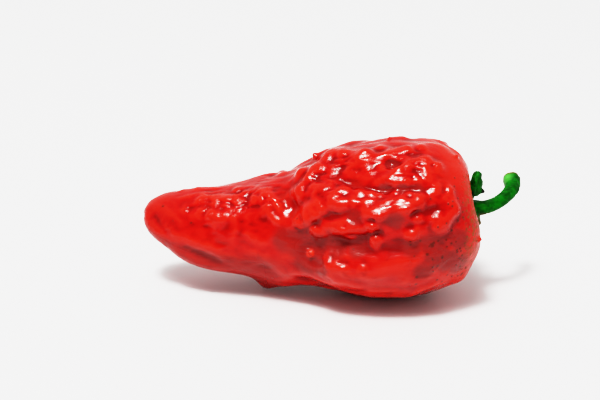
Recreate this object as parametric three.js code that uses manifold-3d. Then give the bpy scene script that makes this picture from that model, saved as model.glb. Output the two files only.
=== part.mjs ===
// A ripe chilli pepper of the wrinkled, very hot kind, lying on its side as picked.
// It has two pieces: the red pod, and the green stalk with the calyx that caps the pod.
// Millimetres and degrees, +Z up. The pod lies along X, with its tip at -X and its stalk at +X.
// The origin is on the table, under the middle of the whole pepper.
//
// A place on the pod is [x, turn]: x is the distance from the tip along the length, and turn goes
// round the pod, from 0 on top, over 90 on the near side (-Y) and 180 below, to 270 on the far side.

import * as THREE from "three";
import { mergeVertices } from "three/addons/utils/BufferGeometryUtils.js";
import { ImprovedNoise } from "three/addons/math/ImprovedNoise.js";
import Module from "manifold-3d";

const wasm = await Module();
wasm.setup();

// The pod's outline: [x, radius], from the tip, over the shoulder, into the shallow basin under the calyx.
const OUTLINE = [
  [0, 0], [0.5, 2.1], [3, 4.3], [8, 6.9], [15, 8.4], [22, 9.7], [29, 11.5], [36, 13.2], [42, 15], [48, 16.3],
  [54, 16.5], [59, 15.6], [63, 14], [66.4, 11.6], [68.3, 9], [68.6, 7.2], [67.4, 4.2], [66.5, 1.7], [66.3, 0],
];
const SHOULDER_LEAN = { from: 50, most: 1.5, turn: 325 }; // the rim leans back, most of all at this turn

// The line through the middle of the pod: [x, height above the table, distance to the far side].
const SPINE = [
  [0, 15.1, 0.4], [4, 14.6, 0.4], [8, 13.4, 0.2], [13, 12.8, 0], [20, 13.1, 0], [26, 13.2, 0], [30, 13.8, 0],
  [35, 15.2, 0], [41, 16.2, 0], [46, 16.2, 0], [51, 16.5, 0], [56, 17, 0], [62, 17.7, 0.3], [67, 19.1, 1.2],
  [71, 19.8, 2],
];

// Lumps that stand out of the pod: where, half length along it, half width round it, height.
const LUMPS = {
  waist_far_side: { at: [34, 300], long: 6, wide: 7, high: 1.1 },
  crest_of_tip_part: { at: [12, 358], long: 2.6, wide: 2.6, high: 0.8 },
  ridge_behind_tip_part: { at: [20, 322], long: 6, wide: 4, high: 0.5 },
  near_side_of_tip_part: { at: [17, 75], long: 8, wide: 5, high: 0.5 },
  knob_below: { at: [26.4, 172], long: 2.3, wide: 2.5, high: 2.3 },
  web_of_knob: { at: [30, 156], long: 3, wide: 3, high: 0.8 },
  lower_lobe: { at: [42, 114], long: 8, wide: 6, high: 1.4 },
  lower_lobe_end: { at: [55, 118], long: 9, wide: 8, high: 0.9 },
  near_shoulder: { at: [67.5, 104], long: 4, wide: 5, high: 0.9 },
  low_shoulder: { at: [67, 135], long: 4, wide: 6, high: 0.3 },
  corner_below: { at: [65, 152], long: 2.4, wide: 2.6, high: 1.4 },
  far_shoulder: { at: [60, 262], long: 6, wide: 8, high: 1 },
  top_peg: { at: [50.6, 350], long: 1.3, wide: 1.5, high: 0.3 },
  top_front: { at: [43.5, 345], long: 4, wide: 5, high: 0.6 },
  top_back: { at: [61, 345], long: 4, wide: 6, high: 1.4 },
  dip_on_top: { at: [53.5, 345], long: 3, wide: 5, high: -0.7 },
  oval_on_shoulder: { at: [62.5, 68], long: 2.4, wide: 1.7, high: 0.8 },
  drop_over_band: { at: [50.5, 83], long: 2, wide: 1.3, high: 0.7 },
  drop_by_shoulder: { at: [57.5, 80], long: 1.6, wide: 2.4, high: 0.7 },
};

// Folds of the skin: the line that they follow, half width, and height, which is below zero for a groove.
const FOLDS = {
  waist: { line: [[30, 5], [31, 35], [32, 52], [33.5, 65], [35, 78]], wide: 2.4, high: -1.2 },
  waist_on_top: { line: [[35, 325], [35.5, 348], [35.5, 5]], wide: 2.2, high: -1.3 },
  side_band: { line: [[35, 80], [39, 85], [44, 87], [50, 87], [56, 88], [61, 88]], wide: 3, high: -1.7 },
  side_pit: { line: [[36.6, 99], [37.5, 97]], wide: 2.6, high: -1.9 },
  upper_valley: { line: [[43, 39], [47, 46], [51, 51], [55, 51], [59.5, 49]], wide: 2.1, high: -1.4 },
  upper_pit: { line: [[51.5, 32], [53.5, 31]], wide: 1.4, high: -1.2 },
  upper_dimple: { line: [[56.4, 14], [57, 12]], wide: 1.3, high: -1 },
  under_lower_lobe: { line: [[38, 137], [44, 150], [52, 154], [60, 150]], wide: 2.6, high: -1.2 },
  crease_of_tip: { line: [[1.5, 60], [3.5, 86], [7, 96], [15, 107], [28, 119]], wide: 1.5, high: -1.3 },
  edge_over_crease: { line: [[3, 50], [6, 80], [10, 90], [15, 96], [25, 108]], wide: 2, high: 0.7 },
  lobe_under_crease: { line: [[7, 118], [12, 126], [18, 133], [23, 136]], wide: 3, high: 0.7 },
  tip_crest: { line: [[12, 28], [15, 27], [19, 34], [26, 34]], wide: 1.2, high: 0.8 },
  tip_flank: { line: [[13, 50], [17, 55], [21, 57], [25, 55]], wide: 1.3, high: 0.7 },
  collar_at_waist: { line: [[25, 18], [27, 36], [29.5, 50], [31, 65]], wide: 1.3, high: 1.1 },
  rough_row: { line: [[34.5, 14], [37.2, 22], [40.5, 33]], wide: 1.5, high: 1 },
  rough_row_below: { line: [[34.5, 36], [37.5, 44], [41, 46]], wide: 1.3, high: 1.1 },
  long_oblique: { line: [[33, 70], [36, 62], [39.5, 57], [44.5, 55]], wide: 1.3, high: 1.5 },
  middle_row: { line: [[45, 53], [48, 56], [51, 58], [54, 55], [59, 54]], wide: 1.2, high: 1.3 },
  hook: { line: [[47.7, 62], [49.5, 67], [51.5, 66], [53, 61]], wide: 1.1, high: 1.2 },
  short_oblique: { line: [[54, 64], [56.5, 60], [59, 56]], wide: 1.1, high: 1.1 },
  shoulder_arc: { line: [[60, 52], [61.5, 47], [63, 53], [65.5, 63]], wide: 1.2, high: 1.2 },
  lower_row: { line: [[36.5, 79], [40, 78], [43, 75], [47, 74], [51, 75]], wide: 1.3, high: 1.4 },
  crest_of_lower_lobe: { line: [[37.5, 116], [41, 111], [46, 108], [60, 105]], wide: 3.4, high: 0.8 },
  upper_row: { line: [[51.5, 40], [55, 36], [57.5, 28], [62, 33]], wide: 1.3, high: 1.2 },
  broad_row: { line: [[50, 42], [54, 44], [58, 43], [61, 37]], wide: 1.5, high: 1 },
  top_row: { line: [[39, 4], [43, 14], [48, 22], [54, 18], [60, 14]], wide: 1.8, high: 1 },
  far_valley: { line: [[26, 252], [36, 262], [46, 268], [57, 264], [67, 256]], wide: 3, high: -1.9 },
  far_waist: { line: [[31, 350], [30, 320], [31, 290], [33, 265]], wide: 2.6, high: -1.1 },
  low_valley: { line: [[30, 198], [38, 203], [48, 206], [58, 203], [67, 200]], wide: 3, high: -1.7 },
  top_valley: { line: [[35, 330], [43, 322], [52, 321], [66.5, 328]], wide: 2.4, high: -1.4 },
};

// Folds on the sides that the near side doesn't show, strewn at random but always alike.
const STREWN = {
  count: 40,
  seed: 7,
  x: [22, 63],
  turn: [165, 355],
  length: [4, 11],
  wide: [1.1, 1.7],
  high: 1.3,
  grooves: 0.35,
};

// The crinkle all over: long narrow crests, strongest on the belly, weak on the tip part and the shoulder.
const CRINKLE = {
  long: 6.5,
  wide: 2.3,
  high: 1.4,
  level: 0.28,
  tip: [2, 14],
  belly: [24, 36, 59, 67],
  weak: 0.25,
};

// The pod lies on a smoother spot of its belly, which is pressed slightly flat.
const UNDERSIDE = { from: [30, 40], below: 4, relief: 0.3, flat_cut: 0.5 };

const POD_DETAIL = 21; // each face of the starting icosahedron becomes (detail + 1) squared triangles

// The calyx: a thin cap with short teeth round its edge. The tooth on top is longer, and ends in a lobe.
const CALYX = {
  reach: 3.1,
  teeth: 5,
  tooth: 0.5,
  top_tooth: { longer: 3, wide: 0.5, thicker: 0.8 },
  thick: 1.7,
  blunt: 0.5,
  gap: 0.35,
  sides: 50,
  rings: 12,
};

// The lobe at the end of the top tooth: a plump leaf that is crumpled against the shoulder.
const LOBE = {
  at: [68.85, 1.2, 24.5],
  half: [1.2, 2.4, 2.75],
  lean: 8,
  crumple: { size: 1.9, high: 0.35 },
  detail: 6,
};

// The stalk's centre line in the pod's own measure: x, y (far side is +), z. It hooks back and up.
const STALK_LINE = [
  [67.9, 1.3, 19.3], [70.9, 2.2, 19.4], [73.3, 4.2, 19.8], [75, 6.4, 20.6], [76, 9.2, 21.4],
  [75.7, 12.4, 22.4],
];
const STALK_RADIUS = [1.8, 1.4, 1.32, 1.35, 1.55, 1.85]; // at equal steps along that line
const STALK_RIBS = { count: 5, high: 0.05 };
const STALK_SIDES = 20;
const STALK_STEPS = 24;

const COLOURS = { pod: 0xd01410, stalk: 0x1f7a1c };

const { clamp, degToRad, smoothstep } = THREE.MathUtils;

// A smooth curve through points that were chosen by hand.
function curveThrough(points) {
  const curve = new THREE.CatmullRomCurve3(points.map((p) => new THREE.Vector3(...p)));
  curve.arcLengthDivisions = 800;
  return curve;
}

// The place on a curve where it reaches an x, for a curve whose x only grows up to its last place.
function placeAtX(curve, x, last = 1) {
  let low = 0;
  let high = last;
  for (let i = 0; i < 24; i++) {
    const middle = (low + high) / 2;
    if (curve.getPoint(middle).x < x) low = middle;
    else high = middle;
  }
  return (low + high) / 2;
}

const outline = curveThrough(OUTLINE.map(([x, radius]) => [x, radius, 0]));
const rimX = Math.max(...OUTLINE.map(([x]) => x));
const rimPlace = OUTLINE.findIndex(([x]) => x === rimX) / (OUTLINE.length - 1);

const spine = curveThrough(SPINE.map(([x, height, back]) => [x, back, height]));
const centreAt = (x) => spine.getPoint(placeAtX(spine, x));

// The smooth body, before any lump or fold: a point of it, and the way out of the skin there.
// It takes a point of the outline, the way that the outline runs there, and a turn in radians.
function smoothSkin(edge, run, turn) {
  const centre = centreAt(edge.x);
  const out = new THREE.Vector3(0, -Math.sin(turn), Math.cos(turn));
  const lean = SHOULDER_LEAN.most * smoothstep(edge.x, SHOULDER_LEAN.from, rimX);
  const x = edge.x - lean * Math.cos(turn - degToRad(SHOULDER_LEAN.turn));
  return {
    point: new THREE.Vector3(x, centre.y, centre.z).addScaledVector(out, edge.y),
    wayOut: new THREE.Vector3(-run.y, 0, 0).addScaledVector(out, run.x).normalize(),
  };
}

function placeOnPod([x, turn]) {
  const place = placeAtX(outline, x, rimPlace);
  return smoothSkin(outline.getPoint(place), outline.getTangent(place), degToRad(turn)).point;
}

const bell = (distance) => Math.exp(-distance * distance);

// A lump's height at any point: a bell, longer along the pod than round it, or the other way.
function lumpHeight({ at, long, wide, high }) {
  const middle = placeOnPod(at);
  return (p) => {
    const across = Math.hypot(p.y - middle.y, p.z - middle.z);
    return high * bell(Math.hypot((p.x - middle.x) / long, across / wide));
  };
}

// A fold's height at any point: a rounded crest or groove that fades towards both ends of its line.
function foldHeight({ line, wide, high }) {
  const path = new THREE.CatmullRomCurve3(line.map(placeOnPod)).getPoints(4 * line.length);
  const piece = new THREE.Line3();
  const nearest = new THREE.Vector3();
  return (p) => {
    let least = Infinity;
    let where = 0;
    for (let i = 0; i + 1 < path.length; i++) {
      const share = piece.set(path[i], path[i + 1]).closestPointToPointParameter(p, true);
      const distance = piece.at(share, nearest).distanceTo(p);
      if (distance < least) {
        least = distance;
        where = (i + share) / (path.length - 1);
      }
    }
    return high * (0.4 + 0.6 * Math.sin(Math.PI * where)) * bell(least / wide);
  };
}

// A small generator of even random numbers, so that the strewn folds are the same every time.
function randomFrom(seed) {
  let state = seed;
  return (low = 0, high = 1) => {
    state = (state * 16807) % 2147483647;
    return low + ((high - low) * state) / 2147483647;
  };
}

function strewnFolds() {
  const random = randomFrom(STREWN.seed);
  return Array.from({ length: STREWN.count }, () => {
    const x = random(...STREWN.x);
    const turn = random(...STREWN.turn);
    const length = random(...STREWN.length);
    const slant = random(-14, 14);
    const wide = random(...STREWN.wide);
    const high = STREWN.high * (random() < STREWN.grooves ? -random(0.5, 0.9) : random(0.5, 1));
    const end = Math.min(x + length, STREWN.x[1] + 2);
    return { line: [[x, turn], [(x + end) / 2, turn + slant * 0.2], [end, turn + slant]], wide, high };
  });
}

const heights = [
  ...Object.values(LUMPS).map(lumpHeight),
  ...Object.values(FOLDS).map(foldHeight),
  ...strewnFolds().map(foldHeight),
];
const noise = new ImprovedNoise();

function crinkleAt(p) {
  const { long, wide, high, level, belly, tip, weak } = CRINKLE;
  const onBelly = smoothstep(p.x, belly[0], belly[1]) * (1 - smoothstep(p.x, belly[2], belly[3]));
  const crest = level - Math.abs(noise.noise(p.x / long, p.y / wide, p.z / wide));
  return high * (weak + (1 - weak) * onBelly) * smoothstep(p.x, ...tip) * crest;
}

function reliefAt(p) {
  const whole = heights.reduce((sum, height) => sum + height(p), crinkleAt(p));
  const under = smoothstep(p.x, ...UNDERSIDE.from) * (1 - smoothstep(p.z, 0, UNDERSIDE.below));
  return whole * (1 - under * (1 - UNDERSIDE.relief));
}

// The finished skin. Share goes from 0 at the tip to 1 under the stalk, and lift raises a point off it.
function skin(share, turn, lift = 0) {
  const { point, wayOut } = smoothSkin(outline.getPointAt(share), outline.getTangentAt(share), turn);
  return point.addScaledVector(wayOut, reliefAt(point) + lift);
}

// A geometry with its shared vertices merged, so that it is one closed surface.
function closed(geometry) {
  geometry.deleteAttribute("normal");
  geometry.deleteAttribute("uv");
  return mergeVertices(geometry, 1e-4);
}

function moveVertices(geometry, move) {
  const position = geometry.getAttribute("position");
  const p = new THREE.Vector3();
  for (let i = 0; i < position.count; i++) {
    p.copy(move(p.fromBufferAttribute(position, i)));
    position.setXYZ(i, p.x, p.y, p.z);
  }
  geometry.computeVertexNormals();
  return geometry;
}

// The pod: a ball of small, even triangles, drawn out along the outline.
function podGeometry() {
  const ball = closed(new THREE.IcosahedronGeometry(1, POD_DETAIL));
  return moveVertices(ball, (p) => skin(Math.acos(clamp(-p.x, -1, 1)) / Math.PI, Math.atan2(-p.y, p.z)));
}

// The calyx: a ball pressed into a toothed cap over the basin. Its lower half follows the pod's skin
// with a small gap, and its upper half is raised off that, most of all in the middle.
function calyxGeometry() {
  const ball = closed(new THREE.SphereGeometry(1, CALYX.sides, CALYX.rings).rotateX(Math.PI / 2));
  const stalkWay = new THREE.Vector3(...STALK_LINE[1]).sub(new THREE.Vector3(...STALK_LINE[0])).normalize();
  return moveVertices(ball, (p) => {
    const turn = Math.atan2(-p.x, p.y);
    const out = Math.min(1, Math.hypot(p.x, p.y));
    const tooth = (0.5 + 0.5 * Math.cos(CALYX.teeth * turn)) ** 1.5;
    const onTop = bell(turn / CALYX.top_tooth.wide);
    const reach = CALYX.reach + CALYX.tooth * tooth + CALYX.top_tooth.longer * onTop;
    const thick = CALYX.thick + CALYX.top_tooth.thicker * onTop * smoothstep(out, 0, 0.4);
    const raise = thick * (0.5 + 0.5 * Math.sign(p.z) * Math.abs(p.z) ** CALYX.blunt);
    return skin(1 - (reach * out) / outline.getLength(), turn, CALYX.gap).addScaledVector(stalkWay, raise);
  });
}

// The lobe: a ball pressed flat, with a crumpled skin, that leans out over the stalk.
function lobeGeometry() {
  const { at, half, lean, crumple, detail } = LOBE;
  const ball = closed(new THREE.IcosahedronGeometry(1, detail));
  moveVertices(ball, (p) => {
    const wrinkle = noise.noise(p.x * crumple.size, p.y * crumple.size, p.z * crumple.size + 4);
    return p.multiplyScalar(1 + crumple.high * wrinkle).multiply(new THREE.Vector3(...half));
  });
  return ball.rotateY(degToRad(lean)).translate(...at);
}

// The stalk: a cylinder bent along its line, with low ribs, and thicker at both ends.
function stalkGeometry() {
  const line = curveThrough(STALK_LINE);
  const { normals, binormals } = line.computeFrenetFrames(STALK_STEPS);
  const radii = new THREE.SplineCurve(STALK_RADIUS.map((r, i) => new THREE.Vector2(i, r)));
  const rod = closed(new THREE.CylinderGeometry(1, 1, 1, STALK_SIDES, STALK_STEPS));
  return moveVertices(rod, (p) => {
    const step = Math.round((0.5 - p.y) * STALK_STEPS);
    const turn = Math.atan2(p.z, p.x);
    const rib = 1 + STALK_RIBS.high * Math.cos(STALK_RIBS.count * turn);
    const radius = Math.hypot(p.x, p.z) * radii.getPoint(step / STALK_STEPS).y * rib;
    return line
      .getPointAt(step / STALK_STEPS)
      .addScaledVector(normals[step], Math.cos(turn) * radius)
      .addScaledVector(binormals[step], Math.sin(turn) * radius);
  });
}

function solidOf(geometry) {
  const vertProperties = geometry.getAttribute("position").array;
  const triVerts = new Uint32Array(geometry.index.array);
  return new wasm.Manifold(new wasm.Mesh({ numProp: 3, vertProperties, triVerts }));
}

function geometryOf(solid) {
  const { vertProperties, triVerts, numProp, numVert } = solid.getMesh();
  const positions = new Float32Array(numVert * 3);
  for (let i = 0; i < numVert; i++) {
    positions.set(vertProperties.subarray(i * numProp, i * numProp + 3), i * 3);
  }
  const geometry = new THREE.BufferGeometry();
  geometry.setAttribute("position", new THREE.BufferAttribute(positions, 3));
  geometry.setIndex(new THREE.BufferAttribute(new Uint32Array(triVerts), 1));
  geometry.computeVertexNormals();
  return geometry;
}

function piece(name, geometry, color, roughness) {
  const mesh = new THREE.Mesh(geometry, new THREE.MeshStandardMaterial({ color, roughness, metalness: 0 }));
  mesh.name = name;
  return mesh;
}

// The table is level with the flat spot: whatever would reach below it is pressed flat.
const podShape = podGeometry();
podShape.computeBoundingBox();
const table = podShape.boundingBox.min.z + UNDERSIDE.flat_cut;
moveVertices(podShape, (p) => p.setZ(Math.max(p.z, table)));
const greenParts = [calyxGeometry(), lobeGeometry(), stalkGeometry()].map(solidOf);
const stalkShape = geometryOf(wasm.Manifold.union(greenParts));

const pepper = new THREE.Group();
pepper.add(piece("pod", podShape, COLOURS.pod, 0.25), piece("stalk", stalkShape, COLOURS.stalk, 0.5));

// The origin goes on the table, under the middle of the whole pepper.
const middle = new THREE.Box3().setFromObject(pepper).getCenter(new THREE.Vector3());
for (const mesh of pepper.children) mesh.geometry.translate(-middle.x, -middle.y, -table);

export default pepper;
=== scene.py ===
# %% [markdown]
# A ripe, very hot chilli pepper that lies on its side on a pale table. The model has two pieces: the
# hollow red pod, which is wrinkled, waxy and glossy, and the fresh green stalk with its calyx.
# The frame gives both pieces their size and place. This file gives them their fine shape and finish.

# %% Load the frame
import math
import random

import bpy
import numpy as np
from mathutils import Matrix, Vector, noise
from mathutils.bvhtree import BVHTree


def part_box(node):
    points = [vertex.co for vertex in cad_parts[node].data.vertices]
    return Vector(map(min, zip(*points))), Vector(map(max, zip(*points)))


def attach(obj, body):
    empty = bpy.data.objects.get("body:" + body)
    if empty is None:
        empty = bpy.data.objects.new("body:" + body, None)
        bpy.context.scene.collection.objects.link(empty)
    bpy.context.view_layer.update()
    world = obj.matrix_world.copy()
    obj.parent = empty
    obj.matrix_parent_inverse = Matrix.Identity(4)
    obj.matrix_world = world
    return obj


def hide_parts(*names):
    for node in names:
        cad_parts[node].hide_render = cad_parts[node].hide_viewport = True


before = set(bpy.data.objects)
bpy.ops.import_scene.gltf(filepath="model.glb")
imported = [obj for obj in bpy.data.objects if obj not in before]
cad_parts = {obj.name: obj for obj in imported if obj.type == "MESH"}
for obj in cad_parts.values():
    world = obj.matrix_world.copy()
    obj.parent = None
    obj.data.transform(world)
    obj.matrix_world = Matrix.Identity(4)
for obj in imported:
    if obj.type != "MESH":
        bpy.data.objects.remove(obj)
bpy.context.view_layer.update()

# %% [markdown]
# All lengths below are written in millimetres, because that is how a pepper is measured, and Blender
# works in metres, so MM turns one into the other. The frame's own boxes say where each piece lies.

pod_low, pod_high = (Vector(corner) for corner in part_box("pod"))
stalk_low, stalk_high = (Vector(corner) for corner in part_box("stalk"))
MM = 0.001
print("pod", pod_low, pod_high)
print("stalk", stalk_low, stalk_high)

# %% [markdown]
# A camera is an object too: it has a place, and it looks along its own -Z. The photograph is taken from
# a little above, with a long lens, so the pepper shows its near side and some of its top. A target
# point, two angles and a distance are easier to judge than a place in space, so they come first.

# %% Camera
TARGET = Vector((-5.9, 0.44, 19.5)) * MM
AZIMUTH = 8.0
ELEVATION = 20.0
DISTANCE = 0.4
LENS = 116.6


def direction(azimuth, elevation):
    """From the pepper towards a viewer or a lamp that stands at these angles, in degrees."""
    a, e = math.radians(azimuth), math.radians(elevation)
    return Vector((math.sin(a) * math.cos(e), -math.cos(a) * math.cos(e), math.sin(e)))


def aim(thing, place, target):
    """Puts a camera or a lamp at a place and turns it to the target."""
    thing.location = place
    thing.rotation_euler = (target - place).to_track_quat("-Z", "Y").to_euler()


camera = bpy.data.objects.new("camera", bpy.data.cameras.new("camera"))
bpy.context.scene.collection.objects.link(camera)
aim(camera, TARGET + DISTANCE * direction(AZIMUTH, ELEVATION), TARGET)
camera.data.lens = LENS
camera.data.sensor_width = 36.0
camera.data.clip_start = 0.01
bpy.context.scene.camera = camera
print("camera at", tuple(round(c, 4) for c in camera.location))

# %% [markdown]
# The pepper was photographed on a white table, under one large soft lamp overhead that stands slightly
# towards the viewer. The skin is so glossy that every bump shows the lamp as a glint. Such a lamp is
# brightest in its middle, so a small disc hangs just below the large one: the small disc makes the white
# heart of a glint, and the large one its soft edge and the soft shadow. The room is a world that goes
# from dim in front, which keeps the red deep, to brighter behind.

# %% Table and light
KEY_ANGLES = (-20.0, 68.0)
KEY_DISTANCE = 1.5
KEY_SIZE = 0.75
KEY_POWER = 12.0
CORE_SIZE = 0.27
CORE_POWER = 16.0
LAMP_WHITE = (1.0, 0.985, 0.96)
LAMP_TARGET = Vector((0, 0, 15)) * MM
FRONT_GREY = 0.42
BACK_GREY = 0.72
ROOM_WHITE = (1.0, 0.985, 0.97, 1.0)
TABLE_WHITE = (0.76, 0.77, 0.78, 1.0)


def select_only(thing):
    bpy.ops.object.select_all(action="DESELECT")
    thing.select_set(True)
    bpy.context.view_layer.objects.active = thing


bpy.ops.object.select_all(action="DESELECT")
bpy.ops.mesh.primitive_plane_add(size=8.0)
table = bpy.context.object
table.name = "table"

table_finish = bpy.data.materials.new("white table")
table_finish.use_nodes = True
table_shader = table_finish.node_tree.nodes["Principled BSDF"]
table_shader.inputs["Base Color"].default_value = TABLE_WHITE
table_shader.inputs["Roughness"].default_value = 0.55
table.data.materials.append(table_finish)


def soft_lamp(name, distance, size, power):
    """A round lamp overhead, turned to the pepper."""
    lamp = bpy.data.objects.new(name, bpy.data.lights.new(name, "AREA"))
    bpy.context.scene.collection.objects.link(lamp)
    aim(lamp, distance * direction(*KEY_ANGLES), LAMP_TARGET)
    lamp.data.shape = "DISK"
    lamp.data.size = size
    lamp.data.energy = power
    lamp.data.color = LAMP_WHITE
    return lamp


key = soft_lamp("key lamp", KEY_DISTANCE, KEY_SIZE, KEY_POWER)
soft_lamp("bright middle of the lamp", 0.99 * KEY_DISTANCE, CORE_SIZE, CORE_POWER)

world = bpy.data.worlds.new("soft room")
bpy.context.scene.world = world
world.use_nodes = True
room = world.node_tree
sky = room.nodes["Background"]
where = room.nodes.new("ShaderNodeTexCoord")
split = room.nodes.new("ShaderNodeSeparateXYZ")
tone = room.nodes.new("ShaderNodeMapRange")
room.links.new(where.outputs["Generated"], split.inputs[0])
room.links.new(split.outputs["Y"], tone.inputs["Value"])
tone_range = {"From Min": -0.4, "From Max": 0.6, "To Min": FRONT_GREY, "To Max": BACK_GREY}
for socket, value in tone_range.items():
    tone.inputs[socket].default_value = value
room.links.new(tone.outputs["Result"], sky.inputs["Strength"])
sky.inputs["Color"].default_value = ROOM_WHITE
print("key lamp at", tuple(round(c, 3) for c in key.location))

# %% [markdown]
# A camera doesn't record light evenly: it deepens the darks, makes the middle tones steep, and lets the
# white table run out softly. Without such a curve a glossy red thing looks milky, since its darks hold
# a faint reflection of the room. The curve works on the light itself: from 0, black, to 3, the lamp.

# %% Film curve
FILM_CURVE = [
    # light, shown
    (0.03, 0.014), (0.1, 0.085), (0.2, 0.23), (0.35, 0.48), (0.5, 0.67), (0.8, 0.83), (1.5, 0.92),
]
BRIGHTEST = 3.0

film = bpy.context.scene.view_settings
film.view_transform = "Standard"
film.use_curve_mapping = True
tones = film.curve_mapping
tones.clip_max_x = BRIGHTEST
all_channels = tones.curves[3]
all_channels.points[-1].location = (BRIGHTEST, 1.0)
for light, shown in FILM_CURVE:
    all_channels.points.new(light, shown)
tones.update()
print("film curve with", len(all_channels.points), "points")

# %% [markdown]
# The pod's skin is modelled like clay. A copy of the frame's pod is made finer and smoother: its
# triangles are merged and subdivided, a voxel remesh lays an even grid of small quads over it, and a
# smoothing takes the last edges off. That even grid can then take strokes from any direction.
# Subdivision alone would keep the uneven triangles, and they would show in the glints.

# %% Helpers that copy and refine a piece
def fine_copy(node, name, levels, voxel, smoothing):
    """A finer, smooth copy of a frame node, as an object of its own."""
    piece = bpy.data.objects.new(name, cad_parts[node].data.copy())
    bpy.context.scene.collection.objects.link(piece)
    select_only(piece)
    bpy.ops.object.mode_set(mode="EDIT")
    bpy.ops.mesh.select_all(action="SELECT")
    bpy.ops.mesh.remove_doubles(threshold=0.00002)
    bpy.ops.mesh.normals_make_consistent(inside=False)
    bpy.ops.object.mode_set(mode="OBJECT")
    finer = piece.modifiers.new("finer", "SUBSURF")
    finer.levels = finer.render_levels = levels
    even = piece.modifiers.new("even", "REMESH")
    even.mode = "VOXEL"
    even.voxel_size = voxel
    soft = piece.modifiers.new("soft", "SMOOTH")
    soft.factor = 0.5
    soft.iterations = smoothing
    for modifier in (finer, even, soft):
        bpy.ops.object.modifier_apply(modifier=modifier.name)
    piece.data.materials.clear()
    bpy.ops.object.shade_smooth()
    print(name, len(piece.data.vertices), "vertices")
    return piece


pod = fine_copy("pod", "pod_skin", 1, 0.3 * MM, 26)

# %% [markdown]
# A place on the pod is written as x, the millimetres from the tip along the length, and a turn round
# the pod: 0 on top, 90 on the near side, 180 below and 270 on the far side. A ray from outside towards
# the line through the pod's middle finds the point of the skin there, so a stroke always lies on it.

# %% Places on the pod
MIDDLE_LINE = [
    (0, 14.7), (4, 14.2), (8, 13.0), (13, 12.4), (20, 12.7), (26, 12.8), (30, 13.4), (35, 14.8),
    (41, 15.8), (46, 15.8), (51, 16.1), (56, 16.6), (62, 17.3), (67, 18.7), (71, 19.4),
]
MIDDLE_BACK = 0.44
middle_x = np.array([x for x, _ in MIDDLE_LINE])
middle_z = np.array([z for _, z in MIDDLE_LINE])
tip_x = pod_low.x / MM
print("middle line from", MIDDLE_LINE[0], "to", MIDDLE_LINE[-1])

# %% [markdown]
# Moving each vertex in a Python loop would be slow on a mesh this fine. Blender can hand over all points
# at once as arrays, so the helpers below read them, work out new ones and write them back.

# %% Helpers that read, soften and write the points
def mesh_arrays(piece):
    """The piece's vertices and their normals, in millimetres, as arrays."""
    count = len(piece.data.vertices)
    points = np.empty(count * 3)
    normals = np.empty(count * 3)
    piece.data.vertices.foreach_get("co", points)
    piece.data.vertices.foreach_get("normal", normals)
    return points.reshape(-1, 3) / MM, normals.reshape(-1, 3)


def set_points(piece, points):
    """Moves the vertices to these points, in millimetres."""
    piece.data.vertices.foreach_set("co", (points * MM).ravel())
    piece.data.update()


def surface_of(piece):
    """The piece's present surface, as a tree that rays can hit."""
    points, _ = mesh_arrays(piece)
    return BVHTree.FromPolygons(points.tolist(), [tuple(f.vertices) for f in piece.data.polygons])


def smooth(value, low, high):
    """0 below low, 1 above high, and an even slope between them."""
    t = np.clip((value - low) / (high - low), 0, 1)
    return t * t * (3 - 2 * t)


def ring_gap(turn, middle):
    """How far a turn is from another one, in degrees, either way round."""
    return np.abs((turn - middle + 180) % 360 - 180)


def blurred(piece, values, rounds):
    """The values, averaged with those of the neighbours, again and again."""
    count = len(piece.data.vertices)
    edges = np.empty(len(piece.data.edges) * 2, dtype=np.int32)
    piece.data.edges.foreach_get("vertices", edges)
    a, b = edges.reshape(-1, 2).T
    degree = np.bincount(a, minlength=count) + np.bincount(b, minlength=count)
    for _ in range(rounds):
        total = np.bincount(a, values[b], count) + np.bincount(b, values[a], count)
        values = 0.5 * values + 0.5 * total / degree
    return values


def soft_shape(piece, rounds):
    """The piece's points on a shape without its small forms."""
    points, _ = mesh_arrays(piece)
    return np.stack([blurred(piece, points[:, k], rounds) for k in range(3)], axis=1)


# %% [markdown]
# Two more helpers go between the two ways of saying where something is: a place [x, turn] becomes a point
# of the skin, and points become places, so that a fold or a patch of colour can follow the pod round.

# %% Helpers that find places
def on_pod(x, turn):
    """The point of the skin at a place [x, turn], in millimetres."""
    a = math.radians(turn)
    out = Vector((0, -math.sin(a), math.cos(a)))
    middle = Vector((x + tip_x, MIDDLE_BACK, float(np.interp(x, middle_x, middle_z))))
    hit = pod_surface.ray_cast(middle + 40 * out, -out)[0]
    return np.array(hit if hit else middle)


def places_of(points):
    """The [x, turn] of many points."""
    x = points[:, 0] - tip_x
    height = points[:, 2] - np.interp(x, middle_x, middle_z)
    turn = np.degrees(np.arctan2(-(points[:, 1] - MIDDLE_BACK), height)) % 360
    return x, turn


# %% [markdown]
# The frame has a sharp crease along the lower edge of the tip part. On the real skin it is a soft dent,
# so the points near it move to where they would be if the skin had been smoothed for a long time.

# %% Soften the crease below the tip
CREASE_TURN = 108
CREASE_ROUNDS = 160

points, _ = mesh_arrays(pod)
x, turn = places_of(points)
dent = (smooth(ring_gap(turn, CREASE_TURN), 62, 36) * (1 - smooth(x, 22, 28)))[:, None]
set_points(pod, points + dent * (soft_shape(pod, CREASE_ROUNDS) - points))

pod_surface = surface_of(pod)
print("near side at the middle of the belly", on_pod(48, 90))

# %% [markdown]
# A stroke is what a sculptor's finger does: it follows a line on the skin and raises a fold or presses a
# groove, strongest in the middle and fading at both ends. Only the points near its line are moved.
# Every stroke is measured on the skin before it is sculpted, and all are added before any point moves,
# so their order doesn't matter. A sculpt brush would do the same by hand, but not twice alike.

# %% Strokes
STROKE_STEP = 0.5
STROKE_REACH = 2.6
STROKE_ENDS = 0.2
FADE_POWER = 0.8


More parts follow.
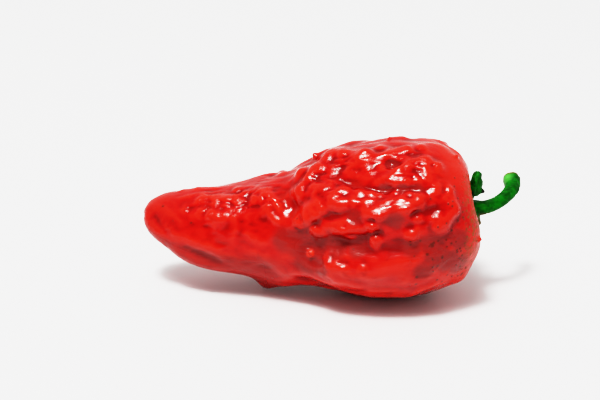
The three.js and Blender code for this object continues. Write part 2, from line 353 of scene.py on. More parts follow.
def stroke_line(line):
    """Points on the skin, half a millimetre apart, along a line of places."""
    track = [on_pod(*line[0])]
    for (x0, t0), (x1, t1) in zip(line, line[1:]):
        length = np.linalg.norm(on_pod(x1, t1) - on_pod(x0, t0))
        steps = max(2, int(length / STROKE_STEP))
        for i in range(1, steps + 1):
            track.append(on_pod(x0 + (x1 - x0) * i / steps, t0 + (t1 - t0) * i / steps))
    return np.array(track)


def add_stroke(heights, points, track, wide, high):
    """Adds one stroke to the heights of the points near it."""
    reach = STROKE_REACH * wide
    low, top = track.min(0) - reach, track.max(0) + reach
    near = np.flatnonzero(((points > low) & (points < top)).all(1))
    best = np.full(len(near), np.inf)
    where_along = np.zeros(len(near))
    for i, (a, b) in enumerate(zip(track, track[1:])):
        run = b - a
        share = np.clip(((points[near] - a) @ run) / max(run @ run, 1e-9), 0, 1)
        gap = np.linalg.norm(points[near] - a - share[:, None] * run, axis=1)
        closer = gap < best
        best[closer] = gap[closer]
        where_along[closer] = (i + share[closer]) / (len(track) - 1)
    swell = np.clip(np.sin(np.pi * where_along), 0, 1) ** FADE_POWER
    fade = STROKE_ENDS + (1 - STROKE_ENDS) * swell
    peak = np.interp(where_along, np.linspace(0, 1, np.size(high)), np.ravel(high))
    heights[near] += peak * fade * np.exp(-((best / wide) ** 2))


def sculpt(piece, strokes):
    """Adds strokes, each (line of places, half width, height or heights), along the skin's normals."""
    points, normals = mesh_arrays(piece)
    heights = np.zeros(len(points))
    for line, wide, high in strokes:
        add_stroke(heights, points, stroke_line(line), wide, high)
    set_points(piece, points + normals * heights[:, None])
    print(piece.name, len(strokes), "strokes, from", heights.min().round(2), "to", heights.max().round(2))


# %% [markdown]
# The near side is copied from the photograph: the waist, the long folds that run along the belly,
# the rough crests beside them, the dimples near the top and the small wart in its crater. Each glint in
# the photograph sits on a flank that faces the lamp, so each crest lies just beside its glint. A steep
# crest shows the lamp as a hair-thin line. Where the steepest part of the flank only just faces the
# lamp, the glint is broad, so that slope gives the height of most crests.

# %% Folds of the near side
STEEPEST_OF_ROUND_CREST = 0.858
BIT_STEEPER = 1.05
LOWEST_UPRIGHT = 0.3


def glint_way(point):
    """The way that skin at a point, in millimetres, has to face to show the lamp to the camera."""
    here = Vector(point) * MM
    return ((camera.location - here).normalized() + (key.location - here).normalized()).normalized()


def crest(line, wide, least=0.25, most=0.9):
    """A fold whose flank just faces the lamp, so that it carries one broad glint."""
    track = [Vector(point) for point in stroke_line(line)]
    slopes = []
    for before, after in zip(track, track[1:]):
        normal = pod_surface.find_nearest((before + after) / 2)[1]
        across = normal.cross(after - before).normalized()
        wanted = glint_way(before)
        slopes.append(abs(wanted.dot(across)) / max(wanted.dot(normal), LOWEST_UPRIGHT))
    even = np.convolve(np.pad(slopes, 2, mode="edge"), np.ones(5) / 5, mode="valid")
    return line, wide, wide * np.clip(BIT_STEEPER * even / STEEPEST_OF_ROUND_CREST, least, most)


NEAR_FOLDS = [
    # upper left part of the belly
    crest([(33.2, 9), (34.2, 20)], 1.1),
    crest([(34.8, 23), (36.5, 28), (38.3, 30), (40.6, 34)], 1.4, 0.3),
    crest([(38.4, 6), (41.2, 12), (42.8, 15), (43.8, 19)], 1.4, 0.25, 0.7),
    crest([(40.0, 16), (42.0, 23), (44.5, 28)], 1.4),
    crest([(45.4, 20), (46.8, 19), (48.5, 21)], 1.8),
    crest([(47.7, 26), (49.3, 25)], 0.9, 0.25, 0.5),
    crest([(48.0, 29), (48.4, 37)], 0.7, 0.4, 0.5),
    crest([(32.0, 35), (34.1, 40), (36.4, 48)], 1.2, 0.35),
    crest([(36.7, 48), (38.2, 53), (39.7, 54)], 0.9),
    crest([(40.8, 51), (42.6, 50), (44.7, 53)], 1.0, 0.35),
    crest([(41.0, 58), (42.7, 61), (44.6, 59)], 0.9, 0.4),
    # the long rows along the middle
    crest([(45.3, 60), (46.3, 55), (47.5, 53), (49.0, 53), (50.9, 57)], 0.9, 0.4),
    crest([(51.6, 52), (54.6, 54), (57.0, 55), (58.6, 53)], 0.9, 0.4),
    crest([(53.8, 66), (56.5, 63), (58.3, 60), (59.4, 56)], 1.1, 0.4),
    crest([(47.3, 63), (49.4, 67), (50.4, 68.5), (51.5, 66.5), (52.9, 64)], 1.0, 0.4),
    crest([(40.0, 61), (38.4, 65), (37.3, 67), (35.8, 70), (33.8, 73)], 1.2, 0.4),
    crest([(32.0, 57), (33.8, 58)], 0.8),
    crest([(37.2, 81), (38.6, 81), (40.3, 82)], 0.9, 0.5),
    crest([(41.4, 79), (43.9, 77), (45.5, 76), (47.4, 77)], 0.9, 0.5),
    crest([(43.2, 82), (44.4, 82), (46.6, 82)], 0.7, 0.5),
    crest([(49.0, 77), (50.5, 77)], 0.9, 0.5),
    crest([(49.3, 87), (51.2, 86)], 1.1, 0.5),
    ([(42.2, 84), (43.6, 85), (45.4, 87)], 0.45, -0.45),
    ([(48.5, 58), (51.0, 59), (53.5, 60)], 0.9, -0.4),
    ([(40.5, 40), (44.0, 42), (47.5, 43)], 1.4, -0.35),
    # the crater with its wart, and the dark fold beside it
    ([(34.6, 101), (35.8, 93), (38.4, 92), (39.6, 101), (37.4, 108)], 1.1, -0.5),
    ([(38.5, 94), (40.8, 92), (43.4, 94)], 1.1, -0.8),
    ([(40.4, 101), (41.0, 106)], 0.8, 0.75),
    ([(43.2, 102), (43.8, 107)], 0.8, 0.75),
    ([(47.3, 104), (48.7, 105)], 1.0, 0.65),
    # upper right part, with its two dimples
    crest([(53.6, 14), (55.0, 13), (56.4, 16)], 1.2),
    crest([(57.1, 9), (58.5, 10)], 1.0, 0.2, 0.45),
    crest([(49.2, 9), (50.4, 8)], 0.9, 0.2, 0.4),
    ([(50.9, 26), (52.5, 27), (54.2, 30)], 1.15, -0.95),
    crest([(50.0, 25), (50.8, 30), (51.6, 35)], 0.8, 0.4),
    crest([(52.2, 35), (53.9, 34), (55.9, 31)], 0.9, 0.4),
    ([(57.7, 31), (59.2, 31)], 0.8, -0.5),
    crest([(57.6, 26), (59.0, 24), (60.5, 27)], 1.1),
    crest([(56.6, 35), (58.0, 34), (59.2, 34)], 0.9),
    crest([(58.2, 39), (59.3, 36), (60.5, 36)], 1.5, 0.3),
    crest([(51.0, 42), (52.5, 42), (54.2, 43), (55.7, 42), (57.2, 41)], 1.0, 0.3),
    crest([(61.0, 26), (62.3, 28)], 1.0),
    ([(49.9, 46), (52.6, 48), (55.6, 49), (58.5, 48)], 1.4, -0.35),
    # the shoulder
    crest([(60.1, 54), (60.8, 50), (62.3, 55), (63.6, 58), (64.6, 60), (65.3, 64), (65.8, 69)], 1.2, 0.5),
    crest([(63.0, 51), (64.4, 48)], 0.8),
    crest([(61.2, 75), (62.8, 76), (64.4, 75)], 1.6, 0.4),
    crest([(58.0, 71), (58.2, 73)], 0.7, 0.4, 0.6),
    crest([(57.6, 76), (58.8, 79)], 0.8, 0.4, 0.6),
    crest([(57.2, 79), (57.4, 86)], 1.0, 0.6),
    crest([(62.2, 82), (62.5, 83)], 0.8, 0.4, 0.6),
    ([(65.2, 139), (63.1, 135), (61.5, 130), (59.3, 129), (56.3, 139)], 0.9, 0.5),
    # the tip part
    crest([(12.3, 27), (13.8, 27), (15.5, 29), (17.3, 32), (18.7, 31), (19.5, 29)], 1.0),
    crest([(20.2, 29), (21.2, 24), (22.4, 33), (23.9, 36)], 0.9),
    crest([(22.0, 7), (23.4, 17), (24.6, 23), (25.8, 29)], 0.9),
    crest([(26.6, 25), (27.5, 24)], 0.8),
    crest([(9.2, 48), (11.0, 51), (13.7, 53), (15.4, 55), (17.3, 60), (20.0, 59)], 1.1, 0.3),
    crest([(25.8, 51), (27.4, 53)], 1.0),
    crest([(24.9, 35), (26.2, 34), (27.4, 36), (28.5, 41), (29.4, 48), (30, 56), (30.8, 62)], 1, 0.45),
    ([(1.7, 20), (1.7, 60), (1.7, 90), (1.7, 120), (1.7, 160)], 1.9, 1.0),
    ([(2.5, 118), (9, 122), (16, 124), (23, 124)], 3.4, 0.8),
    ([(4.4, 59), (6.2, 74), (8.2, 87), (8.8, 97)], 0.8, 0.2),
    ([(10, 100), (12, 97), (14, 95), (17, 102), (19.4, 116), (22.3, 120), (25, 118), (26.1, 116)],
     1.1, 0.25),
    ([(21.1, 56), (21.8, 66), (22.2, 76), (20.6, 84)], 0.7, -0.16),
]
sculpt(pod, NEAR_FOLDS)

# %% [markdown]
# Nothing in the photograph shows the far side, so it gets the same kind of folds at random places, all
# slightly oblique to the length. The generator starts from a fixed number, so the pepper is the same
# every time. The underside, on which the pepper lies, keeps only the frame's broad forms.

# %% Folds of the far side
FAR_FOLDS = 110
FAR_SEED = 11
FAR_TURNS = (200, 352)


def strewn_folds(count, seed, turns):
    """Folds and a few grooves at random places between two turns."""
    dice = random.Random(seed)
    folds = []
    for _ in range(count):
        x = dice.uniform(24, 62)
        turn = dice.uniform(*turns)
        long = dice.uniform(1.5, 6)
        slant = dice.uniform(-9, 9)
        wide = dice.uniform(0.6, 1.0)
        high = dice.uniform(0.3, 0.75) if dice.random() < 0.72 else -dice.uniform(0.3, 0.6)
        middle = (x + long / 2, turn + slant * dice.uniform(0.1, 0.9))
        folds.append(([(x, turn), middle, (x + long, turn + slant)], wide, high))
    return folds


sculpt(pod, strewn_folds(FAR_FOLDS, FAR_SEED, FAR_TURNS))

# %% [markdown]
# The tip part shows fine lines that are easier to draw over the photograph than to give as turns. So
# they are read as columns and rows of its 600 by 400 frame, and a ray from the camera through
# each place finds the skin there. They are sculpted like the other strokes.

# %% Lines of the tip part
IMAGE_WIDTH = 600
IMAGE_HEIGHT = 400
TIP_LINES = [
    # columns and rows, half width, height: the full lower edge, the ridge above it and the groove between
    ([(149, 222), (155, 230), (162, 236), (170, 242)], 2.4, 1.1),
    ([(150, 220), (160, 230), (172, 236), (186, 239), (203, 245), (221, 252), (238, 258), (254, 262)],
     1.3, 0.6),
    ([(180, 248), (196, 253), (212, 259), (228, 266)], 1.5, -0.2),
    ([(172, 249), (184, 256), (197, 262), (215, 268), (232, 272)], 1.4, 0.3),
    # fine wrinkles round the blunt end
    ([(152, 216), (158, 225), (165, 233), (172, 241)], 0.5, 0.16),
    ([(157, 214), (164, 223), (172, 231), (179, 236)], 0.5, 0.14),
    ([(146, 216), (151, 225), (158, 233)], 0.5, 0.14),
    ([(165, 208), (173, 216), (181, 225), (190, 231)], 0.7, 0.12),
    # low wrinkles along the middle and over the top
    ([(233, 216), (236, 230), (233, 242), (238, 249)], 0.9, 0.22),
    ([(206, 222), (216, 228), (226, 231)], 1.1, 0.2),
    ([(196, 232), (208, 237), (220, 243)], 1.1, 0.2),
    ([(243, 228), (252, 238), (262, 244), (272, 247)], 1.0, 0.35),
    ([(242, 250), (254, 251), (266, 256), (276, 262)], 0.9, 0.35),
    ([(178, 192), (184, 190), (190, 189)], 0.6, 0.35),
    ([(196, 188), (202, 187)], 0.6, 0.35),
    ([(209, 186), (216, 189), (222, 188)], 0.6, 0.3),
    ([(176, 200), (188, 197), (199, 195), (212, 194)], 0.8, 0.25),
]


def seen_at(column, row):
    """The point and the facing of the skin at a place in the photograph."""
    right = (column - IMAGE_WIDTH / 2) / IMAGE_WIDTH * camera.data.sensor_width
    down = (row - IMAGE_HEIGHT / 2) / IMAGE_WIDTH * camera.data.sensor_width
    ray = camera.rotation_euler.to_matrix() @ Vector((right, -down, -camera.data.lens))
    return pod_surface.ray_cast(camera.location / MM, ray.normalized())[:2]


def seen_line(places):
    """Points on the skin along a line that is drawn over the photograph."""
    track = []
    for (c0, r0), (c1, r1) in zip(places, places[1:]):
        steps = max(2, int(math.hypot(c1 - c0, r1 - r0) / 2.5))
        for i in range(steps):
            spot = seen_at(c0 + (c1 - c0) * i / steps, r0 + (r1 - r0) * i / steps)[0]
            if spot:
                track.append(spot)
    return np.array(track)


pod_surface = surface_of(pod)
points, normals = mesh_arrays(pod)
heights = np.zeros(len(points))
for places, wide, high in TIP_LINES:
    add_stroke(heights, points, seen_line(places), wide, high)
set_points(pod, points + normals * heights[:, None])
print("tip lines from", heights.min().round(2), "to", heights.max().round(2))

# %% [markdown]
# A skin that is full of water has no hard edges, so all folds are melted a little before the glints.

# %% Soften the folds
MELTING_ROUNDS = 6
set_points(pod, soft_shape(pod, MELTING_ROUNDS))
print("folds softened over", MELTING_ROUNDS, "rounds")

# %% [markdown]
# A glint says which way the skin faces at its place: halfway between the lamp and the camera. So the
# glints are read too, as places in the photograph's frame, each with the size of its patch.

# %% Places of the glints
GLINTS = [
    # column, row, reach in mm: the rough patches and the blob on the upper left part of the belly
    (302, 172, 1.4), (311, 176, 1.6), (321, 170, 1.9), (331, 157, 1.9), (344, 155, 1.6),
    (337, 166, 1.7), (364, 158, 2.6), (369, 167, 1.2), (380, 149, 1.0),
    # the star, the two dimples and the broad patch on the upper right part
    (406, 152, 1.5), (420, 149, 1.2), (399, 170, 1.1), (406, 167, 0.9), (423, 163, 1.2), (436, 167, 1.2),
    (425, 174, 1.8), (415, 179, 1.2), (404, 180, 1.0), (395, 181, 0.8), (418, 167, 0.9),
    # the long rows along the middle
    (345, 191, 1.4), (361, 194, 1.2), (371, 194, 1.0), (380, 197, 1.0), (396, 194, 0.9), (409, 195, 0.9),
    (399, 204, 1.2), (408, 202, 1.2), (417, 198, 1.1), (344, 201, 1.1), (355, 201, 1.0), (332, 198, 0.9),
    (368, 206, 1.1), (374, 211, 1.1), (382, 208, 1.2), (301, 190, 1.5), (292, 209, 0.9),
    (320, 205, 1.2), (313, 211, 1.1), (306, 216, 1.1), (299, 221, 1.0),
    (349, 222, 1.1), (343, 229, 0.9), (315, 227, 1.0), (372, 224, 1.0), (376, 236, 1.1),
    # the arc and the ring on the shoulder
    (429, 194, 1.1), (435, 189, 1.3), (444, 197, 1.2), (450, 203, 1.2), (454, 209, 1.0), (448, 190, 1.2),
    (432, 215, 1.3), (440, 212, 1.2), (447, 215, 1.2), (438, 219, 1.0), (417, 216, 1.0), (412, 232, 1.4),
    (437, 226, 0.8),
    # beside the wart and on the lobe below it
    (329, 257, 1.0), (336, 262, 1.0), (345, 266, 1.1), (330, 266, 0.8), (363, 265, 1.1), (309, 249, 0.6),
    # the tip part and the collar before the waist
    (200, 201, 1.0), (207, 201, 1.1), (217, 202, 1.1), (228, 202, 1.1), (203, 212, 1.0), (211, 214, 1.1),
    (219, 216, 1.1), (228, 214, 1.0), (238, 191, 1.0), (247, 195, 1.1), (256, 199, 1.0), (240, 203, 0.9),
    (187, 210, 1.0), (262, 199, 0.9), (269, 205, 1.0), (272, 212, 1.0), (277, 218, 0.9),
]
BROAD = 1.7
print(len(GLINTS), "glints")

# %% [markdown]
# A small patch of skin is tilted at each glint until it shows the lamp: it rises on one side of the glint
# and sinks on the other, by a few tenths of a millimetre. Broad glints lie on flat skin, so their places
# are flattened first. Neighbours disturb each other a little, so the tilting is done twice. White paint
# would look the same from one side only, and a real slope shines rightly from every side.

# %% Tilt the skin towards the lamp
FLATTENING_ROUNDS = 60
STEEPEST_TILT = 1.35
LOWEST_FACING = 0.4
TILTINGS = 2
SOFTENING_ROUNDS = 2


def flatten(piece, glints):
    """Flattens the skin at the broad glints, so that each can be one patch."""
    points, _ = mesh_arrays(piece)
    share = np.zeros(len(points))
    for column, row, reach in glints:
        spot = np.array(seen_at(column, row)[0])
        share = np.maximum(share, np.exp(-((np.linalg.norm(points - spot, axis=1) / reach) ** 4)))
    set_points(piece, points + share[:, None] * (soft_shape(piece, FLATTENING_ROUNDS) - points))
    print(len(glints), "broad glints flattened")


def face_lamp(piece, glints):
    """Tilts the skin round each glint until it shows the lamp."""
    points, normals = mesh_arrays(piece)
    lift = np.zeros(len(points))
    weight = np.zeros(len(points))
    for column, row, reach in glints:
        spot, facing = seen_at(column, row)
        wanted = glint_way(spot)
        upright = wanted.dot(facing)
        tilt = (wanted - upright * facing) / max(upright, LOWEST_FACING)
        tilt *= min(1.0, STEEPEST_TILT / max(tilt.length, 0.001))
        away = points - np.array(spot)
        near = np.exp(-((np.linalg.norm(away, axis=1) / reach) ** 2))
        lift -= near * (away @ np.array(tilt))
        weight += near
    lift /= np.maximum(weight, 1)
    set_points(piece, points + normals * lift[:, None])
    print(piece.name, len(glints), "glints, from", lift.min().round(2), "to", lift.max().round(2))


pod_surface = surface_of(pod)
flatten(pod, [glint for glint in GLINTS if glint[2] >= BROAD])
for _ in range(TILTINGS):
    pod_surface = surface_of(pod)
    face_lamp(pod, GLINTS)
    set_points(pod, soft_shape(pod, SOFTENING_ROUNDS))

# %% [markdown]
# The wart and the pegs are sharp little forms, so they come after all the softening.

# %% Wart and pegs
PEGS = [
    # the wart in its crater, then pegs on top, before the waist, over the shoulder and beside the calyx
    ([(36.8, 100), (37.0, 99)], 0.8, 1.2),
    ([(50.7, 351), (51.3, 352)], 0.7, 0.6),
    ([(35.4, 345), (35.8, 347)], 0.5, 0.7),
    ([(64.5, 3), (65.0, 5)], 0.6, 0.6),
    ([(70.0, 113), (70.3, 116)], 0.45, 0.7),
]
pod_surface = surface_of(pod)
sculpt(pod, PEGS)

# %% [markdown]
# Between the folds the skin is crinkled: short, thin crests that run along the pod, each only a few
# tenths of a millimetre high. Noise whose value is folded at zero gives such crests. It is strongest on
# the upper belly, weak on the tip, and fades out on the smooth shoulder and the lower belly.

# %% Crinkles
def folded_noise(points, long, wide, offset):
    """Crests of noise, from 0 to 1, stretched along the pod."""
    values = np.empty(len(points))
    for i, (x, y, z) in enumerate(points):
        bend = 0.35 * noise.noise((x / 4, y / 4, z / 4 + offset))
        values[i] = noise.noise((x / long, y / wide + bend, z / wide + offset))
    return 1 - np.clip(np.abs(values) / 0.4, 0, 1) ** 2


ROUGH_SPOTS = [
    # x, turn, reach in mm, strength
    (38, 22, 5, 0.35), (43, 22, 4.5, 0.35), (41, 52, 3, 0.4), (47, 23, 2.5, 0.2), (36, 30, 3, 0.3),
    (55, 18, 3.5, 0.6), (59, 34, 4, 0.5), (52, 44, 3, 0.3), (42, 101, 3, 0.8), (22, 32, 4, 0.5),
    (15, 32, 3.5, 0.6), (48, 60, 3, 0.2), (62, 53, 3, 0.3), (27, 30, 4, 0.5), (19, 48, 3, 0.4),
    (61, 108, 4, 0.4), (65, 100, 3, 0.4),
]

points, normals = mesh_arrays(pod)
x, turn = places_of(points)
belly = smooth(x, 20, 33) * (1 - smooth(x, 58, 66))
upper = 1 - smooth(ring_gap(turn, 335), 95, 150)
strength = 0.06 + 0.16 * belly * upper + 0.16 * (1 - smooth(x, 24, 32))
for spot_x, spot_turn, reach, extra in ROUGH_SPOTS:
    spot = on_pod(spot_x, spot_turn)
    strength += extra * np.exp(-((np.linalg.norm(points - spot, axis=1) / reach) ** 2))
strength *= smooth(points[:, 2], 0.5, 3.5)

wide_crests = folded_noise(points, 3.4, 1.5, 0.0)
fine_crests = folded_noise(points, 1.7, 1.1, 7.3)
relief = strength * (0.2 * (wide_crests - 0.4) + 0.1 * (fine_crests - 0.4))
set_points(pod, points + normals * relief[:, None])
rough = smooth(strength, 0.25, 0.9)
print("crinkles from", relief.min().round(2), "to", relief.max().round(2))

# %% [markdown]
# Some parts of the skin's look follow the skin and not space: the valleys get painted shade, a deeper
# red, a few hollows and the underside of the tip part get painted shade too, the band along the side and
# the lower belly have lost their shine, and corky freckles gather round the calyx. Such masks are painted
# on the points as attributes, which the materials below read by name.

# %% Helpers that paint masks
def paint(piece, name, values):
    """Keeps values from 0 to 1 on the points, under a name."""
    layer = piece.data.attributes.new(name, "FLOAT", "POINT")
    layer.data.foreach_set("value", np.clip(values, 0, 1).astype(np.float32))
    print(name, "covers", f"{100 * float((values > 0.5).mean()):.1f}%")


def spots_mask(points, spots):
    """1 inside each spot (x, turn, radius) on the skin, soft at its edge."""
    mask = np.zeros(len(points))
    for spot_x, spot_turn, radius in spots:
        gap = np.linalg.norm(points - on_pod(spot_x, spot_turn), axis=1)
        mask = np.maximum(mask, 1 - smooth(gap, 0.55 * radius, 1.15 * radius))
    return mask


# %% [markdown]
# A point that lies below the softened skin is in one of the valleys, and a crest is one that stands above
# it, so one mask tells both, and the valleys get painted shade from it. The dark patches are painted
# shade as well, read from the photograph as places on the pod.

# %% Painted shade in valleys and patches, and dull parts
SHADE_PATCHES = [
    # x, turn, reach in mm of painted shade: the dull band, the crater, the fold below the shoulder and
    # the dimples
    (31.5, 84, 3.2), (34.5, 91, 3.6), (38.6, 92, 3.4), (42.5, 93, 2.8), (46.5, 92, 2.2),
    (36.2, 106, 3.4), (39.0, 108, 2.4), (61.5, 93, 3.2), (57.5, 92, 2.4), (52.5, 27, 1.6),
    (62.5, 102, 3.6), (64.5, 112, 3.2), (60, 110, 2.6), (66.5, 97, 2.6), (66.5, 125, 3.0),
    (51.5, 47, 1.5), (55.0, 48.5, 1.5), (58.0, 48, 1.4), (46.0, 68, 2.0), (54.0, 70, 2.2),
]

WART = (36.9, 99.5, 0.9)
VALLEY_ROUNDS = 40

points, normals = mesh_arrays(pod)
x, turn = places_of(points)
hollow = ((soft_shape(pod, VALLEY_ROUNDS) - points) * normals).sum(1)
# painted shade: this mask makes the valleys a deeper red in the skin
paint(pod, "valley_shade", 0.5 + 1.1 * hollow)

band = np.exp(-((ring_gap(turn, 92) / 11) ** 2)) * smooth(x, 30, 36) * (1 - smooth(x, 64, 69))
under_tip = (1 - smooth(ring_gap(turn, 133), 20, 42)) * (1 - smooth(x, 26, 33))
dull = np.clip(band + 0.7 * under_tip + smooth(x, 63.5, 68) * 0.8, 0, 1)
paint(pod, "dull", dull)
wart = spots_mask(points, [WART])
paint(pod, "wart", wart)
blunt_end = 0.4 * (1 - smooth(x, 3, 14))
# painted shade: the patches and the underside of the tip part; the blunt end is also made a darker red in
# this mask
shade = np.maximum.reduce([spots_mask(points, SHADE_PATCHES), 0.7 * under_tip, blunt_end])
paint(pod, "shade", shade * (1 - wart))
paint(pod, "matte_end", smooth(x, 57, 66) * smooth(ring_gap(turn, 75), 12, 40))
paint(pod, "rough", rough)

# %% [markdown]
# The largest brown spots are set one by one, where the photograph has them. The finest freckles are too
# many for that: these masks only say where they gather, and the material scatters them.

# %% Brown spots and freckles
BROWN_SPOTS = [
    # x, turn, radius in mm
    (61.3, 92, 0.55), (60.5, 98, 0.4), (58.5, 114, 0.4), (58.3, 121, 0.35), (66.9, 144, 0.4),
    (67.7, 140, 0.3), (63.4, 104, 0.25), (64.2, 98, 0.25), (59.0, 87, 0.3), (4.9, 41, 0.35),
    (0.8, 44, 0.4), (11.5, 64, 0.25), (34, 66, 0.3), (65.7, 10, 0.3), (70.4, 115, 1.3),
]
paint(pod, "spot", spots_mask(points, BROWN_SPOTS))
paint(pod, "speckled", smooth(x, 54, 63) * np.exp(-((ring_gap(turn, 105) / 42) ** 2)))
near_calyx = smooth(x + 0.9 * np.sin(np.radians(turn) * 3), 63.8, 69.0)
paint(pod, "cork", near_calyx * (0.6 + 0.4 * np.exp(-((ring_gap(turn, 80) / 40) ** 2))))

# %% [markdown]
# Shader maths is easier to read as a formula than as a row of nodes. This small class stands for one
# output socket: adding, multiplying or comparing two of them adds the Math node that does it.

# %% A small language for materials
class Wire:
    """One output socket of a material's nodes, with the arithmetic of numbers."""

    def __init__(self, shop, socket):
        self.shop = shop
        self.socket = socket

    def _math(self, operation, first, second, third=None):
        values = {0: first, 1: second}
        if third is not None:
            values[2] = third
        return self.shop.node("ShaderNodeMath", {"operation": operation}, values)

    def __add__(self, other):
        return self._math("ADD", self, other)

    def __radd__(self, other):
        return self._math("ADD", other, self)

    def __sub__(self, other):
        return self._math("SUBTRACT", self, other)

    def __rsub__(self, other):
        return self._math("SUBTRACT", other, self)

    def __mul__(self, other):
        return self._math("MULTIPLY", self, other)

    def __rmul__(self, other):
        return self._math("MULTIPLY", other, self)

    def least(self, other):
        return self._math("MINIMUM", self, other)

    def most(self, other):
        return self._math("MAXIMUM", self, other)

    def step(self, low, high):
        """0 below low, 1 above high, and smooth between them."""
        settings = {"interpolation_type": "SMOOTHSTEP"}
        values = {"Value": self, "From Min": low, "From Max": high}
        return self.shop.node("ShaderNodeMapRange", settings, values)


class Shop:
    """The nodes of one material."""

    def __init__(self, name):
        self.material = bpy.data.materials.new(name)
        self.material.use_nodes = True
        self.tree = self.material.node_tree
        self.shader = self.tree.nodes["Principled BSDF"]

    def node(self, kind, settings=None, values=None, output=0):
        """Adds a node: its settings first, then the values or links of its sockets."""
        made = self.tree.nodes.new(kind)
        for name, value in (settings or {}).items():
            setattr(made, name, value)
        for socket, value in (values or {}).items():
            self.put(made.inputs[socket], value)
        return Wire(self, made.outputs[output])

    def put(self, socket, value):
        if isinstance(value, Wire):
            self.tree.links.new(value.socket, socket)
        else:
            socket.default_value = value

    def finish(self, **values):
        """Sets the surface's own sockets, by name."""
        for name, value in values.items():
            self.put(self.shader.inputs[name.replace("_", " ")], value)
        print("material", self.material.name, len(self.tree.nodes), "nodes")
        return self.material

    def painted(self, name):
        return self.node("ShaderNodeAttribute", {"attribute_name": name}, output="Fac")

    def place(self):
        return self.node("ShaderNodeTexCoord", output="Object")

    def stretched(self, scale):
        return self.node("ShaderNodeMapping", values={"Vector": self.place(), "Scale": scale})

    def noise(self, vector, scale, detail=3.0, roughness=0.5):
        values = {"Vector": vector, "Scale": scale, "Detail": detail, "Roughness": roughness}
        return self.node("ShaderNodeTexNoise", values=values)

    def cells(self, vector, scale, output="Distance"):
        return self.node("ShaderNodeTexVoronoi", None, {"Vector": vector, "Scale": scale}, output)

    def mix(self, factor, first, second):
        values = {0: factor, 6: first, 7: second}
        return self.node("ShaderNodeMix", {"data_type": "RGBA"}, values, output=2)

    def bump(self, height, distance):
        values = {"Height": height, "Distance": distance, "Strength": 1.0}
        return self.node("ShaderNodeBump", values=values)


# %% [markdown]
# The skin is a thin, waxed layer over red flesh that light enters a little. Its colour is clear red on
# the open skin and leans to orange where crests are stretched thin; painted shade makes the valleys a
# deeper red, and a few patches and the underside of the tip part darker. The wax is smooth, so the
# roughness is low and each glint is sharp, and thin, so the specular level is low and the red stays
# clear of haze. Freckles and corky spots are brown and dull.

# %% Skin
DEEP_RED = (0.2, 0.001, 0.001, 1)
CLEAR_RED = (0.43, 0.004, 0.002, 1)
WARM_RED = (0.6, 0.024, 0.01, 1)
SHADE_RED = (0.22, 0.014, 0.012, 1)
SHOULDER_RED = (0.6, 0.022, 0.008, 1)
WART_RED = (0.75, 0.035, 0.012, 1)
CORK_BROWN = (0.17, 0.07, 0.018, 1)
SPOT_BROWN = (0.09, 0.012, 0.006, 1)
GLOW_DEPTH = (0.0022, 0.0005, 0.0003)
SKIN_RELIEF = 0.00022
FRECKLE_SCALE = 1150.0

skin = Shop("waxy red skin")
place = skin.place()
valley_shade = skin.painted("valley_shade")
dull_mask = skin.painted("dull")
cork_zone = skin.painted("cork")
rough_mask = skin.painted("rough")
clouds = skin.noise(place, 90.0, 3.0)
# painted shade: the valleys turn a deeper red
tint = skin.mix(valley_shade.step(0.46, 0.62), CLEAR_RED, DEEP_RED)
tint = skin.mix((0.5 - valley_shade).step(0.0, 0.12) * 0.6, tint, WARM_RED)
tint = skin.mix(clouds.step(0.5, 0.72) * 0.45, tint, WARM_RED)
tint = skin.mix(skin.noise(place, 330.0, 4.0, 0.6).step(0.5, 0.72) * 0.5, tint, DEEP_RED)
tint = skin.mix(skin.painted("matte_end") * 0.55, tint, SHOULDER_RED)
# painted shade: the patches and the underside of the tip part, and a darker blunt end
tint = skin.mix(skin.painted("shade") * 0.85, tint, SHADE_RED)
tint = skin.mix(skin.painted("wart"), tint, WART_RED)

freckle_gap = skin.cells(place, FRECKLE_SCALE)
freckle_pick = skin.cells(place, FRECKLE_SCALE, output="Color")
chosen = skin.node("ShaderNodeSeparateXYZ", values={0: freckle_pick})
few = (cork_zone * 0.8 + skin.painted("speckled") * 0.3 + 0.01 - chosen).step(0.0, 0.02)
freckles = few * freckle_gap.step(0.42, 0.2)
corky = cork_zone.step(0.3, 1.0) * skin.noise(place, 1100.0, 2.0).step(0.44, 0.58)
brown = freckles.most(corky * 0.85)
speck_tint = skin.mix(cork_zone.step(0.35, 0.8), SPOT_BROWN, CORK_BROWN)
tint = skin.mix(brown * 0.8, tint, speck_tint)
tint = skin.mix(skin.painted("spot") * 0.85, tint, SPOT_BROWN)

grain = skin.noise(place, 1500.0, 2.0)
pores = skin.noise(skin.stretched((0.45, 1.0, 1.0)), 900.0, 3.0)
wrinkles = skin.noise(skin.stretched((0.7, 1.0, 1.0)), 2300.0, 3.0, 0.6)
fine_wrinkles = wrinkles * (0.03 + 0.3 * rough_mask)
fine_pores = pores * (0.08 + 0.7 * dull_mask)
fine_grain = grain * (0.02 + 0.3 * brown)
relief_bump = skin.bump(fine_wrinkles + fine_pores + fine_grain, SKIN_RELIEF)

skin_finish = skin.finish(
    Base_Color=tint,
    Roughness=0.14 + dull_mask * 0.2 + brown * 0.25,
    Subsurface_Weight=0.12,
    Subsurface_Radius=GLOW_DEPTH,
    Subsurface_Scale=1.0,
    Specular_IOR_Level=0.25,
    Normal=relief_bump,
)
pod.data.materials.append(skin_finish)
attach(pod, "root")
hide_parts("pod")

# %% [markdown]
# The stalk and the calyx grew as one piece, so they stay one mesh. It is refined like the pod. The
# calyx is a mottled cap whose upper lobe stands off the shoulder, and the stalk is a short bent rod with
# faint ribs and a pale cut end. A pale green patch on the bend just below the cut end is a painted
# highlight, and a dried tooth tip in the crook between calyx and stalk is painted near black, partly as
# that crook's shadow.

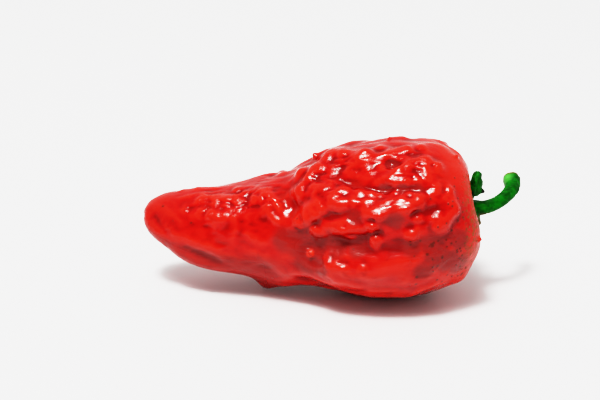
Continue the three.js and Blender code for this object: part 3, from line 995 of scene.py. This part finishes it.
# %% Stalk and calyx
CUT_END = np.array([36.85, 12.84, 22.05])
CUT_WAY = np.array([-0.09, 0.95, 0.3])
# painted highlight: the middle of a pale green patch on the bend below the cut end
HIGHLIGHT_PLACE = np.array([36.2, 11.4, 22.0])
LOBE_NOTCH = np.array([31.3, 1.4, 26.0])
# a dried tooth tip in the crook between calyx and stalk, pulled out a little; its near-black colour is
# partly painted shadow of that crook
DRY_TIP = np.array([31.1, 1.5, 22.9])
DRY_WAY = np.array([1.2, 0.1, -0.25])
OLIVE_SPOTS = [(34.9, 9.0, 21.9, 1.1), (31.0, 2.0, 21.2, 0.9), (36.4, 12.4, 23.2, 1.0)]

stalk = fine_copy("stalk", "green_stalk", 1, 0.13 * MM, 5)
points, normals = mesh_arrays(stalk)
lumps = folded_noise(points, 1.1, 0.9, 3.1)
relief = 0.10 * (lumps - 0.4)
relief -= 0.5 * np.exp(-((np.linalg.norm(points - LOBE_NOTCH, axis=1) / 0.4) ** 2))
points += normals * relief[:, None]
pull = np.exp(-((np.linalg.norm(points - DRY_TIP, axis=1) / 0.5) ** 2))
points += pull[:, None] * DRY_WAY
set_points(stalk, points)

along_cut = (points - CUT_END) @ CUT_WAY
paint(stalk, "cut", smooth(along_cut, -0.3, -0.12) * smooth(points[:, 0], 33, 34))
low_teeth = (1 - smooth(points[:, 2], 17.6, 18.6)) * (1 - smooth(points[:, 0], 32.5, 33.5))
paint(stalk, "rim", np.maximum(low_teeth, smooth(along_cut, -0.9, -0.3) * smooth(points[:, 0], 33, 34)))
# painted highlight on the bend below the cut end
paint(stalk, "pale", 1 - smooth(np.linalg.norm(points - HIGHLIGHT_PLACE, axis=1), 0.8, 2.1))
# dried tooth tip, painted near black, partly as painted shadow of the crook
paint(stalk, "dry_tip_shadow", 1 - smooth(np.linalg.norm(points - DRY_TIP - 0.5 * DRY_WAY, axis=1), 0.5, 0.9))
olive = np.zeros(len(points))
for *spot, reach in OLIVE_SPOTS:
    gap = np.linalg.norm(points - spot, axis=1)
    olive = np.maximum(olive, 1 - smooth(gap, 0.3 * reach, reach))
paint(stalk, "olive", olive)

GRASS_GREEN = (0.0, 0.125, 0.002, 1)
DARK_GREEN = (0.0, 0.06, 0.001, 1)
HIGHLIGHT_GREEN = (0.10, 0.42, 0.07, 1)
OLIVE = (0.13, 0.17, 0.012, 1)
CUT_GREEN = (0.42, 0.5, 0.22, 1)
DRY_BROWN = (0.13, 0.06, 0.018, 1)
SHADOWED_TIP_BLACK = (0.012, 0.008, 0.006, 1)

leaf = Shop("fresh green stalk")
place = leaf.place()
mottle = leaf.noise(place, 420.0, 3.0)
streaks = leaf.noise(leaf.stretched((0.3, 1.0, 1.0)), 900.0, 2.0)
green = leaf.mix(mottle.step(0.4, 0.62), GRASS_GREEN, DARK_GREEN)
green = leaf.mix(streaks.step(0.55, 0.75) * 0.4, green, (0.01, 0.24, 0.008, 1))
# painted highlight: pale green on the bend
green = leaf.mix(leaf.painted("pale") * 0.75, green, HIGHLIGHT_GREEN)
green = leaf.mix(leaf.painted("olive") * mottle.step(0.35, 0.6), green, OLIVE)
green = leaf.mix(leaf.painted("rim") * 0.8, green, DRY_BROWN)
green = leaf.mix(leaf.painted("cut"), green, CUT_GREEN)
# dried tooth tip painted near black, partly painted shadow of the crook
green = leaf.mix(leaf.painted("dry_tip_shadow"), green, SHADOWED_TIP_BLACK)
stalk_finish = leaf.finish(
    Base_Color=green,
    Roughness=0.42 + mottle * 0.2,
    Specular_IOR_Level=0.1,
    Subsurface_Weight=0.08,
    Subsurface_Radius=(0.0004, 0.001, 0.0003),
    Subsurface_Scale=1.0,
    Normal=leaf.bump(streaks + mottle * 0.6, 0.00012),
)
stalk.data.materials.append(stalk_finish)
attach(stalk, "root")
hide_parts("stalk")
